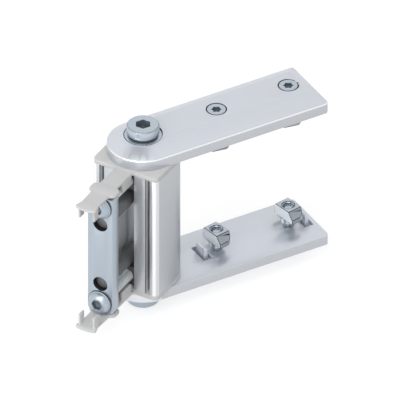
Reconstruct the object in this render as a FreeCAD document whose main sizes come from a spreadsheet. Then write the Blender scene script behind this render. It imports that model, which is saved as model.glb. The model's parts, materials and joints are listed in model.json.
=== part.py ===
import FreeCAD, Part
import math
import os
import re

import Sketcher
from FreeCAD import Vector

# Pivot joint for 45 x 90 aluminium profile.
# Frame: +X runs from the clamped post to the pivot, +Z is up, and X = 0 is the flat front of the column.
# The pivot axis is parallel to Z. Each pair of upper and lower pieces is mirrored about Z = 0.

SIZES = [
    # Clear height between the arms, and what fills it
    ("arm_gap", 90.0),
    ("running_gap", 0.05),
    ("cap_thickness", 3.0),
    # Column
    ("column_width", 45.0),
    ("column_round", 3.5),
    ("channel_width", 13.2),
    ("channel_depth", 13.6),
    ("slot_offset", 14.3),
    ("slot_width", 3.1),
    ("slot_depth", 12.0),
    # End cap tongue and its snap fins
    ("tongue_reach", 48.4),
    ("tongue_thickness", 1.8),
    ("tongue_root_width", 11.6),
    ("tongue_flare_start", 18.0),
    ("tongue_flare_end", 26.0),
    ("tongue_width", 18.2),
    ("tongue_step_length", 4.5),
    ("tongue_neck_width", 11.8),
    ("tongue_waist_reach", 41.5),
    ("tongue_waist_width", 11.2),
    ("tongue_tip_width", 13.8),
    ("tongue_tip_bulge", 0.8),
    ("tongue_tip_round", 1.4),
    ("root_round", 2.5),
    ("wall_start", 1.3),
    ("wall_end", 12.5),
    ("wall_thickness", 1.3),
    ("wall_height", 6.1),
    ("fin_spacing", 11.2),
    ("fin_inset", 1.8),
    ("fin_length", 5.0),
    ("fin_height", 7.6),
    ("fin_thickness", 1.3),
    ("rib_start", 5.5),
    ("rib_length", 5.5),
    ("rib_height", 6.0),
    ("rib_clearance", 0.15),
    # Arms
    ("arm_width", 44.0),
    ("arm_reach", 117.0),
    ("arm_swing", -30.0),
    ("rim_height", 7.0),
    ("crown_height", 5.6),
    ("crown_run", 10.5),
    ("crown_round", 16.0),
    ("arm_corner", 3.0),
    ("far_screw_inset", 16.0),
    ("screw_pitch", 50.0),
    ("far_lug_inset", 5.9),
    ("near_lug_offset", 10.1),
    ("lug_width", 9.8),
    ("lug_thickness", 2.6),
    ("lug_height", 5.9),
    ("lug_bevel", 0.7),
    ("window_width", 15.6),
    ("window_length", 6.0),
    ("window_depth", 3.0),
    # Pivot bearing
    ("bush_flange", 23.0),
    ("bush_flange_height", 2.5),
    ("bush_flange_clearance", 0.3),
    ("bush_sink", 0.7),
    ("bush_sleeve", 16.0),
    ("bush_clearance", 0.05),
    ("washer_diameter", 23.6),
    ("washer_clearance", 0.2),
    # Pivot screw
    ("pivot_thread", 12.0),
    ("pivot_clearance", 0.1),
    ("pivot_length", 28.0),
    ("pivot_head", 19.8),
    ("pivot_head_height", 7.0),
    ("pivot_head_chamfer", 1.0),
    ("pivot_socket", 8.5),
    ("pivot_socket_depth", 4.6),
    ("bore_runout", 1.4),
    # Countersunk arm screws
    ("arm_thread", 6.0),
    ("arm_screw_length", 24.8),
    ("arm_screw_sink", 0.15),
    ("arm_screw_head", 12.0),
    ("arm_screw_land", 0.4),
    ("arm_screw_ring", 0.35),
    ("arm_screw_ring_depth", 0.7),
    ("arm_screw_socket", 5.6),
    ("arm_screw_socket_hollow", 4.0),
    ("arm_screw_socket_depth", 2.6),
    ("lobe_angle", 10.0),
    ("arm_hole_clearance", 0.3),
    ("cone_clearance", 0.05),
    # Hammer nuts, heights counted from the inner face of the arm
    ("nut_width", 9.9),
    ("nut_length", 19.2),
    ("nut_roof_length", 12.2),
    ("nut_neck", 9.4),
    ("nut_foot", 2.6),
    ("nut_bearing", 6.5),
    ("nut_shoulder", 9.4),
    ("nut_top", 14.1),
    ("nut_round", 4.2),
    ("nut_tooth_height", 0.9),
    ("nut_tooth_length", 2.4),
    ("nut_turn", 10.0),
    ("nut_mouth", 7.8),
    ("thread_clearance", 0.05),
    # Clamp bar and its screws
    ("clamp_gap", 22.0),
    ("bar_width", 17.2),
    ("bar_thickness", 7.1),
    ("bar_end_gap", 1.4),
    ("bar_round", 1.5),
    ("clamp_screw_height", 35.0),
    ("clamp_thread", 8.0),
    ("clamp_hole_clearance", 0.4),
    ("clamp_screw_length", 40.0),
    ("clamp_flange", 16.0),
    ("clamp_flange_height", 1.0),
    ("clamp_head", 14.2),
    ("clamp_head_height", 4.4),
    ("clamp_head_shoulder", 12.0),
    ("clamp_head_shoulder_height", 3.2),
    ("clamp_head_top", 8.4),
    ("clamp_socket", 5.0),
    ("clamp_socket_depth", 2.9),
    ("clamp_travel", 3.0),
    # Guide pins, and the square nuts pressed into the channel
    ("guide_height", 22.0),
    ("guide_diameter", 9.6),
    ("guide_clearance", 0.05),
    ("guide_recess", 3.1),
    ("guide_seat", 6.0),
    ("guide_chamfer", 0.6),
    ("square_nut_depth", 3.5),
    ("square_nut_height", 6.5),
    ("tip_clearance", 0.4),
    # How far a cut's outline stands clear of the piece that it cuts
    ("overrun", 1.0),
]

# Heights and places that several pieces share, each worked out from the sizes above.
DERIVED = [
    ("pivot_x", "column_width / 2"),
    ("column_top", "arm_gap / 2 - cap_thickness"),
    ("cap_top", "arm_gap / 2 - running_gap"),
    ("tongue_under", "arm_gap / 2 - tongue_thickness"),
    ("seat_level", "arm_gap / 2"),
    ("rim_level", "seat_level + rim_height"),
    ("crown_level", "rim_level + crown_height"),
    ("bush_level", "crown_level - bush_sink"),
    ("far_screw", "arm_reach - far_screw_inset"),
    ("near_screw", "far_screw - screw_pitch"),
    ("far_lug", "arm_reach - far_lug_inset"),
    ("near_lug", "near_screw - near_lug_offset"),
    ("pivot_tip", "crown_level - pivot_length"),
    ("bar_front", "clamp_gap + bar_thickness"),
    ("bar_height", "2 * ( tongue_under - bar_end_gap )"),
    ("tip_reach", "clamp_screw_length - bar_front + clamp_travel"),
]

NODES = []


def fill_sheet(doc):
    """Put every driving size and every shared level in the spreadsheet, one alias each."""
    sheet = doc.addObject("Spreadsheet::Sheet", "Sizes")
    for row, (alias, value) in enumerate(SIZES, start=1):
        sheet.set(f"A{row}", alias)
        sheet.set(f"B{row}", str(value))
        sheet.setAlias(f"B{row}", alias)
    for row, (alias, formula) in enumerate(DERIVED, start=1):
        sheet.set(f"D{row}", alias)
        sheet.set(f"E{row}", "=" + formula)
        sheet.setAlias(f"E{row}", alias)
    doc.recompute()
    return sheet


class Builder:
    """Makes sketches and features whose sizes are bound to the sheet."""

    def __init__(self, doc, sheet):
        self.doc = doc
        self.sheet = sheet

    def bound(self, formula):
        """Prefix each alias in a formula with the sheet's name."""
        aliases = {alias for alias, _ in SIZES + DERIVED}
        return re.sub(
            "[a-z_]+",
            lambda word: f"Sizes.{word[0]}" if word[0] in aliases else word[0],
            formula,
        )

    def value(self, formula):
        """The number that a formula gives with the sheet as it stands."""
        result = self.sheet.evalExpression(formula)
        return float(getattr(result, "Value", result))

    def body(self, name):
        body = self.doc.addObject("PartDesign::Body", name)
        NODES.append(body)
        return body

    def place(self, item, x="0", y="0", z="0", yaw="0", pitch="0", roll="0"):
        """Bind a body's place to the sheet: a point, and turns about Z, Y and X."""
        spot = f"vector({self.bound(x)}; {self.bound(y)}; {self.bound(z)})"
        turn = f"rotation({self.bound(yaw)}; {pitch}; {roll})"
        item.setExpression("Placement", f"placement({spot}; {turn})")

    def sketch(self, body, name, plane="XY", level="0", shift="0"):
        """A sketch on one of the body's own planes, raised by level and shifted along its own x."""
        sketch = body.newObject("Sketcher::SketchObject", name)
        planes = [item for item in body.Origin.OriginFeatures if item.Role == f"{plane}_Plane"]
        sketch.AttachmentSupport = [(planes[0], "")]
        sketch.MapMode = "FlatFace"
        sketch.setExpression("AttachmentOffset.Base.z", self.bound(level))
        sketch.setExpression("AttachmentOffset.Base.x", self.bound(shift))
        return sketch

    def pin(self, sketch, geometry, point, x, y):
        """Fix one point of the sketch at coordinates given by two formulas."""
        for kind, formula in (("DistanceX", x), ("DistanceY", y)):
            constraint = Sketcher.Constraint(kind, geometry, point, self.value(formula))
            number = sketch.addConstraint(constraint)
            sketch.setExpression(f"Constraints[{number}]", self.bound(formula))

    def outline(self, sketch, corners, arcs=None):
        """A closed outline through the corners.

        arcs maps the number of the corner where an arc starts to its radius. A leading minus sign
        marks an arc that bends the other way, clockwise.
        """
        arcs = arcs or {}
        points = [Vector(self.value(x), self.value(y), 0) for x, y in corners]
        edges = []
        for number, start in enumerate(points):
            end = points[(number + 1) % len(points)]
            if number in arcs:
                edges.append(self.arc(sketch, start, end, arcs[number]))
            else:
                edges.append((sketch.addGeometry(Part.LineSegment(start, end)), 1, 2))
        for number, (geometry, first, _) in enumerate(edges):
            self.pin(sketch, geometry, first, *corners[number])
        for number, (geometry, _, last) in enumerate(edges):
            follower, first, _ = edges[(number + 1) % len(edges)]
            sketch.addConstraint(Sketcher.Constraint("Coincident", geometry, last, follower, first))

    def arc(self, sketch, start, end, radius):
        clockwise = radius.startswith("-")
        formula = radius.lstrip("-")
        size = self.value(formula)
        chord = end - start
        rise = math.sqrt(max(size ** 2 - chord.Length ** 2 / 4, 0))
        left = Vector(-chord.y, chord.x, 0).normalize()
        centre = (start + end) / 2 + left * (-rise if clockwise else rise)
        first, last = (end, start) if clockwise else (start, end)
        low = math.atan2(first.y - centre.y, first.x - centre.x)
        high = math.atan2(last.y - centre.y, last.x - centre.x)
        if high < low:
            high += 2 * math.pi
        circle = Part.Circle(centre, Vector(0, 0, 1), size)
        geometry = sketch.addGeometry(Part.ArcOfCircle(circle, low, high))
        number = sketch.addConstraint(Sketcher.Constraint("Radius", geometry, size))
        sketch.setExpression(f"Constraints[{number}]", self.bound(formula))
        return (geometry, 2, 1) if clockwise else (geometry, 1, 2)

    def circle(self, sketch, x, y, diameter):
        centre = Vector(self.value(x), self.value(y), 0)
        size = self.value(diameter)
        geometry = sketch.addGeometry(Part.Circle(centre, Vector(0, 0, 1), size / 2))
        self.pin(sketch, geometry, 3, x, y)
        number = sketch.addConstraint(Sketcher.Constraint("Diameter", geometry, size))
        sketch.setExpression(f"Constraints[{number}]", self.bound(diameter))

    def rectangle(self, sketch, left, right, low, high):
        self.outline(sketch, [(left, low), (right, low), (right, high), (left, high)])

    def pad(self, body, sketch, length, down=False):
        return self.feature(body, "PartDesign::Pad", sketch, length, down)

    def pocket(self, body, sketch, length, up=False):
        return self.feature(body, "PartDesign::Pocket", sketch, length, up)

    def feature(self, body, kind, sketch, length, reverse):
        item = body.newObject(kind, f"{sketch.Name}_{kind.split('::')[1].lower()}")
        item.Profile = sketch
        item.Reversed = reverse
        item.setExpression("Length", self.bound(length))
        sketch.Visibility = False
        return item

    def turned(self, name, profile):
        """A body turned about its own Z axis from a profile of (radius, height) corners."""
        body = self.body(name)
        sketch = self.sketch(body, f"{name}_profile", plane="XZ")
        self.outline(sketch, profile)
        item = body.newObject("PartDesign::Revolution", f"{name}_turned")
        item.Profile = sketch
        item.ReferenceAxis = (sketch, ["V_Axis"])
        item.Angle = 360
        return body

    def turned_cut(self, body, sketch):
        """A cut turned about the sketch's upright axis."""
        item = body.newObject("PartDesign::Groove", f"{sketch.Name}_groove")
        item.Profile = sketch
        item.ReferenceAxis = (sketch, ["V_Axis"])
        item.Angle = 360
        sketch.Visibility = False

    def socket(self, body, corners, level, depth):
        """A driver socket cut down from a level."""
        sketch = self.sketch(body, f"{body.Name}_socket", level=level)
        self.outline(sketch, corners)
        self.pocket(body, sketch, depth)

    def mirrored(self, source, name):
        """The lower twin of an upper piece, mirrored about mid height."""
        twin = self.doc.addObject("Part::Mirroring", name)
        twin.Source = source
        twin.Normal = Vector(0, 0, 1)
        NODES.append(twin)
        return twin


def hexagon(across_flats):
    """Corners of a hexagon with two flats square to X, so that a corner points along Y."""
    corners = []
    for step in range(6):
        angle = 30 + 60 * step
        reach = f"{across_flats} / ( 2 * cos(30) )"
        corners.append((f"{reach} * cos({angle})", f"{reach} * sin({angle})"))
    return corners


def six_lobe(across, hollow):
    """Corners of a six-lobe socket with flat-ended lobes, hollow being its narrow width."""
    corners = []
    for step in range(6):
        for width, angle in (
            (across, f"{60 * step} - lobe_angle"),
            (across, f"{60 * step} + lobe_angle"),
            (hollow, f"{60 * step + 30}"),
        ):
            corners.append((f"{width} / 2 * cos({angle})", f"{width} / 2 * sin({angle})"))
    return corners


def column_outline(make, sketch):
    """Flat front with rounded corners, straight flanks, and a half-round back about the pivot."""
    half = "column_width / 2"
    make.outline(
        sketch,
        [
            ("column_round", f"0 - {half}"),
            ("pivot_x", f"0 - {half}"),
            (f"pivot_x + {half}", "0"),
            ("pivot_x", half),
            ("column_round", half),
            ("0", f"{half} - column_round"),
            ("0", f"column_round - {half}"),
        ],
        {1: half, 2: half, 4: "column_round", 6: "column_round"},
    )


def column(make):
    """Extruded column with its front channel, two side slots, and the bores for what it holds."""
    body = make.body("column_profile")
    section = make.sketch(body, "column_section", level="0 - column_top")
    column_outline(make, section)
    make.pad(body, section, "2 * column_top")
    channel = make.sketch(body, "column_channel", level="0 - column_top")
    make.rectangle(channel, "0 - overrun", "channel_depth", "0 - channel_width / 2", "channel_width / 2")
    make.rectangle(channel, "0 - overrun", "slot_depth", "slot_offset", "slot_offset + slot_width")
    make.rectangle(channel, "0 - overrun", "slot_depth", "0 - slot_offset - slot_width", "0 - slot_offset")
    make.pocket(body, channel, "2 * column_top", up=True)
    for end, level in (("upper", "column_top"), ("lower", "0 - column_top")):
        bore = make.sketch(body, f"column_{end}_bore", level=level)
        make.circle(bore, "pivot_x", "0", "pivot_thread + pivot_clearance")
        make.pocket(body, bore, "column_top - pivot_tip + bore_runout", up=end == "lower")
    for end, sign in (("upper", ""), ("lower", "0 - ")):
        seat = make.sketch(body, f"column_{end}_guide_seat", plane="YZ", level="channel_depth")
        make.circle(seat, "0", f"{sign}guide_height", "guide_diameter")
        make.pocket(body, seat, "guide_seat", up=True)
        relief = make.sketch(body, f"column_{end}_tip_relief", plane="YZ", level="channel_depth")
        make.circle(relief, "0", f"{sign}clamp_screw_height", "clamp_thread + 2 * clamp_hole_clearance")
        make.pocket(body, relief, "tip_reach - channel_depth + tip_clearance", up=True)


def step_round(narrow_width):
    """Radius of the two arcs that lead from the tongue's full width to a narrower one."""
    rise = f"( ( tongue_width - {narrow_width} ) / 4 )"
    return f"( ( tongue_step_length / 2 ) ^ 2 + {rise} ^ 2 ) / ( 2 * {rise} )"


def stand_pair(make, body, name, level, height, along, across):
    """Two plates that stand inward from a level, mirrored about Y = 0."""
    sketch = make.sketch(body, name, level=level)
    make.rectangle(sketch, *along, *across)
    make.rectangle(sketch, *along, *(f"0 - ( {side} )" for side in reversed(across)))
    make.pad(body, sketch, height, down=True)


def end_cap(make):
    """Moulded cap: plate of the column's section, tongue over the clamp bar, fins, walls, ribs."""
    body = make.body("upper_end_cap")
    plate = make.sketch(body, "cap_plate", level="column_top")
    column_outline(make, plate)
    make.pad(body, plate, "cap_top - column_top")
    tongue = make.sketch(body, "cap_tongue", level="tongue_under")
    tip = "tongue_tip_bulge - tongue_reach"
    tip_half = "( tongue_tip_width / 2 - tongue_tip_round )"
    tip_arc = f"( {tip_half} ^ 2 + tongue_tip_bulge ^ 2 ) / ( 2 * tongue_tip_bulge )"
    side = [
        ("column_round", "tongue_root_width / 2 + root_round"),
        ("0", "tongue_root_width / 2 + root_round"),
        ("0 - root_round", "tongue_root_width / 2"),
        ("0 - tongue_flare_start", "tongue_root_width / 2"),
        (
            "0 - tongue_flare_start - tongue_step_length / 2",
            "( tongue_root_width + tongue_width ) / 4",
        ),
        ("0 - tongue_flare_start - tongue_step_length", "tongue_width / 2"),
        ("0 - tongue_flare_end", "tongue_width / 2"),
        (
            "0 - tongue_flare_end - tongue_step_length / 2",
            "( tongue_neck_width + tongue_width ) / 4",
        ),
        ("0 - tongue_flare_end - tongue_step_length", "tongue_neck_width / 2"),
        ("0 - tongue_waist_reach", "tongue_waist_width / 2"),
        (f"{tip} + tongue_tip_round", "tongue_tip_width / 2"),
        (tip, tip_half),
    ]
    other = [(x, f"0 - ( {y} )") for x, y in reversed(side)]
    out_round = step_round("tongue_root_width")
    in_round = step_round("tongue_neck_width")
    bends = {
        1: "-root_round",
        3: "-" + out_round,
        4: out_round,
        6: in_round,
        7: "-" + in_round,
        10: "tongue_tip_round",
    }
    arcs = {len(side) - 1: tip_arc}
    for number, radius in bends.items():
        arcs[number] = radius
        arcs[len(side) + len(other) - 2 - number] = radius
    make.outline(tongue, side + other, arcs)
    make.pad(body, tongue, "cap_top - tongue_under")
    stand_pair(
        make, body, "cap_fins", "tongue_under", "fin_height",
        (f"{tip} + fin_inset", f"{tip} + fin_inset + fin_length"),
        ("fin_spacing / 2 - fin_thickness", "fin_spacing / 2"),
    )
    stand_pair(
        make, body, "cap_walls", "tongue_under", "wall_height",
        ("0 - wall_end", "0 - wall_start"),
        ("tongue_root_width / 2 - wall_thickness", "tongue_root_width / 2"),
    )
    stand_pair(
        make, body, "cap_ribs", "column_top", "rib_height",
        ("rib_start", "rib_start + rib_length"),
        ("slot_offset + rib_clearance", "slot_offset + slot_width - rib_clearance"),
    )
    window = make.sketch(body, "cap_window", level="column_top")
    make.circle(window, "pivot_x", "0", "washer_diameter + 2 * washer_clearance")
    make.pocket(body, window, "cap_thickness", up=True)
    return body


def edges_at(feature, test):
    """Names of the edges of a feature whose every vertex passes a test."""
    names = []
    for number, edge in enumerate(feature.Shape.Edges, start=1):
        if all(test(vertex.Point) for vertex in edge.Vertexes):
            names.append(f"Edge{number}")
    return names


def arm(make):
    """Arm in its own frame: pivot at the origin, far end along +X, inner face at seat_level."""
    body = make.body("upper_arm")
    make.place(body, x="pivot_x", yaw="arm_swing")
    half = "arm_width / 2"
    blank = make.sketch(body, "arm_blank", level="seat_level")
    make.outline(
        blank,
        [
            ("0", f"0 - {half}"),
            ("arm_reach", f"0 - {half}"),
            ("arm_reach", half),
            ("0", half),
            (f"0 - {half}", "0"),
        ],
        {3: half, 4: half},
    )
    pad = make.pad(body, blank, "rim_height + crown_height")
    make.doc.recompute()
    crown = make.value("crown_level")
    slope = body.newObject("PartDesign::Chamfer", "arm_crown_slope")
    slope.Base = (pad, edges_at(pad, lambda point: abs(point.z - crown) < 1e-6))
    slope.ChamferType = "Two distances"
    slope.setExpression("Size", "Sizes.crown_height")
    slope.setExpression("Size2", "Sizes.crown_run")
    make.doc.recompute()
    top = [face for face in slope.Shape.Faces if face.CenterOfMass.z > crown - 1e-6]
    slope.FlipDirection = not top or top[0].BoundBox.YLength > make.value("arm_width - crown_run")
    make.doc.recompute()
    crease = body.newObject("PartDesign::Fillet", "arm_crown_crease")
    crease.Base = (slope, edges_at(slope, lambda point: abs(point.z - crown) < 1e-6))
    crease.setExpression("Radius", "Sizes.crown_round")
    make.doc.recompute()
    corners = make.sketch(body, "arm_far_corners", level="seat_level")
    for sign, bend in (("", "arm_corner"), ("0 - ", "-arm_corner")):
        trio = [
            ("arm_reach + overrun", f"{sign}( {half} - arm_corner )"),
            ("arm_reach + overrun", f"{sign}( {half} + overrun )"),
            ("arm_reach - arm_corner", f"{sign}( {half} + overrun )"),
            ("arm_reach - arm_corner", f"{sign}( {half} )"),
            ("arm_reach", f"{sign}( {half} - arm_corner )"),
        ]
        make.outline(corners, trio, {3: "-arm_corner" if sign == "" else "arm_corner"})
    make.pocket(body, corners, "rim_height + crown_height", up=True)
    counterbore = make.sketch(body, "arm_pivot_counterbore", level="crown_level")
    make.circle(counterbore, "0", "0", "bush_flange + 2 * bush_flange_clearance")
    make.pocket(body, counterbore, "bush_sink + bush_flange_height")
    pivot = make.sketch(body, "arm_pivot_bore", level="seat_level")
    make.circle(pivot, "0", "0", "bush_sleeve + 2 * bush_clearance")
    make.pocket(body, pivot, "rim_height + crown_height", up=True)
    for end in ("near", "far"):
        sink = make.sketch(body, f"arm_{end}_sink", plane="XZ", shift=f"{end}_screw")
        hole = "arm_thread / 2 + arm_hole_clearance"
        mouth = "arm_screw_head / 2 + arm_screw_sink + arm_screw_land + cone_clearance"
        ring = "arm_screw_head / 2 + arm_screw_ring"
        floor = "crown_level - arm_screw_ring_depth"
        make.outline(
            sink,
            [
                ("0", "seat_level - overrun"),
                (hole, "seat_level - overrun"),
                (hole, f"crown_level - ( {mouth} - ( {hole} ) )"),
                (f"{mouth} - arm_screw_ring_depth", floor),
                (ring, floor),
                (ring, "crown_level + overrun"),
                ("0", "crown_level + overrun"),
            ],
        )
        make.turned_cut(body, sink)
    for end in ("near", "far"):
        window = make.sketch(body, f"arm_{end}_window", level="seat_level")
        make.rectangle(
            window,
            f"{end}_lug - window_length / 2",
            f"{end}_lug + window_length / 2",
            "0 - window_width / 2",
            "window_width / 2",
        )
        make.pocket(body, window, "window_depth", up=True)
        lug = make.sketch(body, f"arm_{end}_lug", level="seat_level + window_depth")
        make.rectangle(
            lug,
            f"{end}_lug - lug_thickness / 2",
            f"{end}_lug + lug_thickness / 2",
            "0 - lug_width / 2",
            "lug_width / 2",
        )
        lugs = make.pad(body, lug, "lug_height + window_depth", down=True)
    make.doc.recompute()
    low = make.value("seat_level - lug_height")
    bevel = body.newObject("PartDesign::Chamfer", "arm_lug_bevel")
    bevel.Base = (lugs, edges_at(lugs, lambda point: abs(point.z - low) < 1e-6))
    bevel.setExpression("Size", "Sizes.lug_bevel")
    return body


def flange_bush(make):
    """Flanged bush that the arm turns on, its flange sunk a little below the arm's crown."""
    bore = "pivot_thread / 2 + pivot_clearance"
    sleeve = "bush_sleeve / 2"
    flange = "bush_flange / 2"
    shoulder = "bush_level - bush_flange_height"
    body = make.turned(
        "upper_flange_bush",
        [
            (bore, "seat_level"),
            (sleeve, "seat_level"),
            (sleeve, shoulder),
            (flange, shoulder),
            (flange, "bush_level"),
            (bore, "bush_level"),
        ],
    )
    make.place(body, x="pivot_x")
    return body


def thrust_washer(make):
    """Washer in the cap's window that carries the arm on the column's end."""
    bore = "pivot_thread / 2 + pivot_clearance"
    body = make.turned(
        "upper_thrust_washer",
        [
            (bore, "column_top"),
            ("washer_diameter / 2", "column_top"),
            ("washer_diameter / 2", "seat_level"),
            (bore, "seat_level"),
        ],
    )
    make.place(body, x="pivot_x")
    return body


def pivot_screw(make):
    """Socket head screw that clamps the bush to the column."""
    head_top = "bush_level + pivot_head_height"
    body = make.turned(
        "upper_pivot_screw",
        [
            ("0", "pivot_tip"),
            ("pivot_thread / 2", "pivot_tip"),
            ("pivot_thread / 2", "bush_level"),
            ("pivot_head / 2", "bush_level"),
            ("pivot_head / 2", f"{head_top} - pivot_head_chamfer"),
            ("pivot_head / 2 - pivot_head_chamfer", head_top),
            ("0", head_top),
        ],
    )
    make.socket(body, hexagon("pivot_socket"), head_top, "pivot_socket_depth")
    make.place(body, x="pivot_x")
    return body


def arm_screw(make, end):
    """Countersunk six-lobe screw that draws a hammer nut against the profile's slot."""
    top = "crown_level - arm_screw_sink"
    tip = f"{top} - arm_screw_length"
    head = "arm_screw_head / 2"
    thread = "arm_thread / 2"
    body = make.turned(
        f"upper_{end}_arm_screw",
        [
            ("0", tip),
            (thread, tip),
            (thread, f"{top} - arm_screw_land - ( {head} - {thread} )"),
            (head, f"{top} - arm_screw_land"),
            (head, top),
            ("0", top),
        ],
    )
    corners = six_lobe("arm_screw_socket", "arm_screw_socket_hollow")
    make.socket(body, corners, top, "arm_screw_socket_depth")
    seat_on_arm(make, body, f"{end}_screw")
    return body


def seat_on_arm(make, body, station, level="0", turn="0", roll="0"):
    """Place a body on the arm's centre line, at a distance from the pivot, swung with the arm."""
    make.place(
        body,
        x=f"pivot_x + {station} * cos(arm_swing)",
        y=f"{station} * sin(arm_swing)",
        z=level,
        yaw=f"arm_swing + {turn}",
        roll=roll,
    )


def hammer_nut(make, side, end):
    """Hammer-head nut: a long head with roof flanks, teeth under it, and a round neck.

    Height 0 is the arm's inner face. The lower nuts are the same part turned over.
    """
    body = make.body(f"{side}_{end}_hammer_nut")
    name = f"{side}_{end}_nut"
    half_width = "nut_width / 2"
    half_length = "nut_length / 2"
    head = make.sketch(body, f"{name}_head", level="0 - nut_top")
    make.outline(
        head,
        [
            (f"0 - {half_width}", f"0 - {half_length}"),
            (half_width, f"0 - {half_length}"),
            (half_width, f"{half_length} - nut_round"),
            (f"{half_width} - nut_round", half_length),
            (f"0 - {half_width}", half_length),
        ],
        {2: "nut_round"},
    )
    make.pad(body, head, "nut_top - nut_bearing")
    corner = make.sketch(body, f"{name}_corner", level="0 - nut_top")
    make.outline(
        corner,
        [
            (f"0 - {half_width} - overrun", f"nut_round - {half_length}"),
            (f"0 - {half_width} - overrun", f"0 - {half_length} - overrun"),
            (f"nut_round - {half_width}", f"0 - {half_length} - overrun"),
            (f"nut_round - {half_width}", f"0 - {half_length}"),
            (f"0 - {half_width}", f"nut_round - {half_length}"),
        ],
        {3: "-nut_round"},
    )
    make.pocket(body, corner, "nut_top", up=True)
    roof = make.sketch(body, f"{name}_roof", plane="YZ", level=f"0 - {half_width} - overrun")
    teeth = make.sketch(body, f"{name}_teeth", plane="YZ", level=f"nut_round - {half_width}")
    for sign in ("", "0 - "):
        make.outline(
            roof,
            [
                (f"{sign}nut_roof_length / 2", "0 - nut_top"),
                (f"{sign}nut_roof_length / 2", "0 - nut_top - overrun"),
                (f"{sign}( {half_length} + overrun )", "0 - nut_top - overrun"),
                (f"{sign}( {half_length} + overrun )", "0 - nut_shoulder"),
                (f"{sign}{half_length}", "0 - nut_shoulder"),
            ],
        )
        make.outline(
            teeth,
            [
                (f"{sign}{half_length}", "0 - nut_bearing"),
                (f"{sign}( {half_length} - nut_tooth_length )", "0 - nut_bearing"),
                (f"{sign}( {half_length} - nut_tooth_length / 2 )", "nut_tooth_height - nut_bearing"),
            ],
        )
    make.pocket(body, roof, "nut_width + 2 * overrun", up=True)
    make.pad(body, teeth, "nut_width - 2 * nut_round")
    neck = make.sketch(body, f"{name}_neck", level="0 - nut_bearing")
    make.circle(neck, "0", "0", "nut_neck")
    make.pad(body, neck, "nut_bearing - nut_foot")
    thread = make.sketch(body, f"{name}_thread", level="0 - nut_top")
    make.circle(thread, "0", "0", "arm_thread + 2 * thread_clearance")
    make.pocket(body, thread, "nut_top - nut_foot", up=True)
    radius = "( arm_thread / 2 + thread_clearance )"
    mouth = make.sketch(body, f"{name}_mouth", plane="XZ")
    make.outline(
        mouth,
        [
            ("0", f"nut_mouth / 2 - {radius} - nut_top"),
            ("0", "0 - nut_top - overrun"),
            ("nut_mouth / 2", "0 - nut_top - overrun"),
            ("nut_mouth / 2", "0 - nut_top"),
            (radius, f"nut_mouth / 2 - {radius} - nut_top"),
        ],
    )
    make.turned_cut(body, mouth)
    if side == "upper":
        seat_on_arm(make, body, f"{end}_screw", "seat_level", "0 - nut_turn")
    else:
        seat_on_arm(make, body, f"{end}_screw", "0 - seat_level", "nut_turn", roll="180")


def rounded_bar(make, sketch, width, height, corner):
    """A tall rounded rectangle about the sketch's origin."""
    side = f"{width} / 2"
    top = f"{height} / 2"
    make.outline(
        sketch,
        [
            (f"0 - {side}", f"{corner} - {top}"),
            (f"{corner} - {side}", f"0 - {top}"),
            (f"{side} - {corner}", f"0 - {top}"),
            (side, f"{corner} - {top}"),
            (side, f"{top} - {corner}"),
            (f"{side} - {corner}", top),
            (f"{corner} - {side}", top),
            (f"0 - {side}", f"{top} - {corner}"),
        ],
        {0: corner, 2: corner, 4: corner, 6: corner},
    )


def clamp_bar(make):
    """Steel bar that clamps the post against the column."""
    body = make.body("clamp_bar")
    face = make.sketch(body, "bar_face", plane="YZ", level="0 - bar_front")
    rounded_bar(make, face, "bar_width", "bar_height", "bar_round")
    for sign in ("", "0 - "):
        hole = "clamp_thread + 2 * clamp_hole_clearance"
        make.circle(face, "0", f"{sign}clamp_screw_height", hole)
        make.circle(face, "0", f"{sign}guide_height", "guide_diameter + 2 * guide_clearance")
    make.pad(body, face, "bar_thickness")


def clamp_screw(make, end, sign):
    """Flanged button head screw from the bar into the square nut in the channel."""
    thread = "clamp_thread / 2"
    body = make.turned(
        f"{end}_clamp_screw",
        [
            ("0", "0 - clamp_screw_length"),
            (thread, "0 - clamp_screw_length"),
            (thread, "0"),
            ("clamp_flange / 2", "0"),
            ("clamp_flange / 2", "clamp_flange_height"),
            ("clamp_head / 2", "clamp_flange_height"),
            ("clamp_head_shoulder / 2", "clamp_head_shoulder_height"),
            ("clamp_head_top / 2", "clamp_head_height"),
            ("0", "clamp_head_height"),
        ],
    )
    make.socket(body, hexagon("clamp_socket"), "clamp_head_height", "clamp_socket_depth")
    make.place(body, x="0 - bar_front", z=f"{sign}clamp_screw_height", pitch="-90")


def guide_pin(make, end, sign):
    """Plain pin pressed into the column, on which the clamp bar slides."""
    radius = "guide_diameter / 2"
    length = "bar_front - guide_recess + channel_depth + guide_seat"
    body = make.turned(
        f"{end}_guide_pin",
        [
            ("0", "0"),
            (f"{radius} - guide_chamfer", "0"),
            (radius, "guide_chamfer"),
            (radius, length),
            ("0", length),
        ],
    )
    make.place(body, x="guide_recess - bar_front", z=f"{sign}guide_height", pitch="90")


def square_nut(make, end, sign):
    """Square nut pressed between the channel's walls, which takes a clamp screw."""
    body = make.body(f"{end}_square_nut")
    face = make.sketch(body, f"{end}_square_nut_face", plane="YZ", level="square_nut_depth")
    side = "channel_width / 2"
    middle = f"{sign}clamp_screw_height"
    make.rectangle(face, f"0 - {side}", side, f"{middle} - {side}", f"{middle} + {side}")
    make.circle(face, "0", middle, "clamp_thread + 2 * thread_clearance")
    make.pad(body, face, "square_nut_height")


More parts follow.
